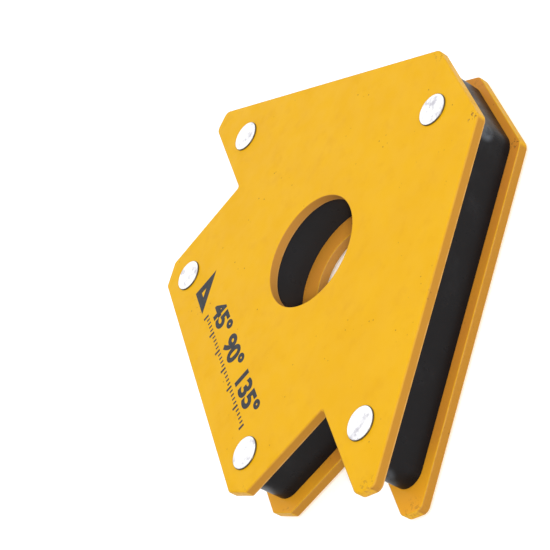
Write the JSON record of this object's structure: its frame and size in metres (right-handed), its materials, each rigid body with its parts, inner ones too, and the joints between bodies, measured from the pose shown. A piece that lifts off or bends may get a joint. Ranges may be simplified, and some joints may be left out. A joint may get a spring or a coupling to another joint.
{
  "type": "welding magnet holder",
  "caption": "Flat arrow-shaped magnet holder: two riveted steel plates over a black core, with a round hole and straight edges for work at 45, 90 and 135 degrees.",
  "frame": {"origin": "under the middle of the part, on the plane that the lower rivet heads rest on", "axes": "+X along the base edge and the wings, +Y from the base edge to the apex, +Z through the thickness, up from the rear plate to the front plate"},
  "size_m": [0.1566, 0.102, 0.0175],
  "materials": {
    "plate_paint": "satin",
    "core_plastic": "satin",
    "ferrite": "matte",
    "rivet_metal": "satin",
    "print": "matte"
  },
  "bodies": {
    "root": {"rear_plate": "plate_paint", "core_housing": "core_plastic", "front_plate": "plate_paint", "left_base_magnet": "ferrite", "right_base_magnet": "ferrite", "left_side_magnet": "ferrite", "right_side_magnet": "ferrite", "left_wing_magnet": "ferrite", "right_wing_magnet": "ferrite", "left_diagonal_magnet": "ferrite", "right_diagonal_magnet": "ferrite", "left_wing_rivet": "rivet_metal", "right_wing_rivet": "rivet_metal", "left_base_rivet": "rivet_metal", "right_base_rivet": "rivet_metal", "apex_rivet": "rivet_metal"}
  },
  "joints": []
}
